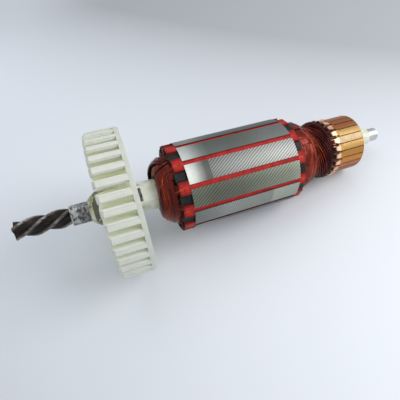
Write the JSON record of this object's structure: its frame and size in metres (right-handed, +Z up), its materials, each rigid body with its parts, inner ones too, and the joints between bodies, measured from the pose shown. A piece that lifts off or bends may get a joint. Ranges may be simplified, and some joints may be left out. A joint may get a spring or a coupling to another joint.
{
  "type": "motor armature",
  "caption": "Wound armature of a universal motor: pinion shaft, radial cooling fan, laminated core with coils in its slots, and hook commutator",
  "frame": {"origin": "middle of the drive-end bearing journal, on the shaft's axis", "axes": "+X along the shaft from the pinion to the commutator, +Z up, +Y to make a right-handed frame"},
  "size_m": [0.2426, 0.087, 0.087],
  "materials": {
    "steel": "ground steel, grey and slightly worn, stained brown in the pinion's flutes",
    "fan_plastic": "cream moulded plastic, stained olive-yellow between the blades",
    "sleeve_plastic": "cream moulded plastic, soiled at the hexagonal head",
    "lamination_steel": "stacked electrical steel, turned and ground outside",
    "insulator": "dark green-black moulded insulation",
    "slot_paper": "red vulcanised-fibre paper, varnished",
    "winding": "copper wire with red-brown enamel, trickled with varnish",
    "commutator_copper": "turned copper, bright at the brush track",
    "moulding": "dark brown phenolic moulding"
  },
  "bodies": {
    "root": {"shaft": "steel", "cooling_fan": "fan_plastic", "insulating_sleeve": "sleeve_plastic", "lamination_stack": "lamination_steel", "end_insulator_front": "insulator", "end_insulator_rear": "insulator", "slot_liners": "slot_paper", "coil_leads": "winding", "commutator_moulding": "moulding", "coil_1": "winding", "coil_2": "winding", "coil_3": "winding", "coil_4": "winding", "coil_5": "winding", "coil_6": "winding", "coil_7": "winding", "coil_8": "winding", "coil_9": "winding", "coil_10": "winding", "coil_11": "winding", "coil_12": "winding", "slot_wedge_1": "slot_paper", "slot_wedge_2": "slot_paper", "slot_wedge_3": "slot_paper", "slot_wedge_4": "slot_paper", "slot_wedge_5": "slot_paper", "slot_wedge_6": "slot_paper", "slot_wedge_7": "slot_paper", "slot_wedge_8": "slot_paper", "slot_wedge_9": "slot_paper", "slot_wedge_10": "slot_paper", "slot_wedge_11": "slot_paper", "slot_wedge_12": "slot_paper", "commutator_bar_1": "commutator_copper", "commutator_bar_2": "commutator_copper", "commutator_bar_3": "commutator_copper", "commutator_bar_4": "commutator_copper", "commutator_bar_5": "commutator_copper", "commutator_bar_6": "commutator_copper", "commutator_bar_7": "commutator_copper", "commutator_bar_8": "commutator_copper", "commutator_bar_9": "commutator_copper", "commutator_bar_10": "commutator_copper", "commutator_bar_11": "commutator_copper", "commutator_bar_12": "commutator_copper", "commutator_bar_13": "commutator_copper", "commutator_bar_14": "commutator_copper", "commutator_bar_15": "commutator_copper", "commutator_bar_16": "commutator_copper", "commutator_bar_17": "commutator_copper", "commutator_bar_18": "commutator_copper", "commutator_bar_19": "commutator_copper", "commutator_bar_20": "commutator_copper", "commutator_bar_21": "commutator_copper", "commutator_bar_22": "commutator_copper", "commutator_bar_23": "commutator_copper", "commutator_bar_24": "commutator_copper"}
  },
  "joints": []
}
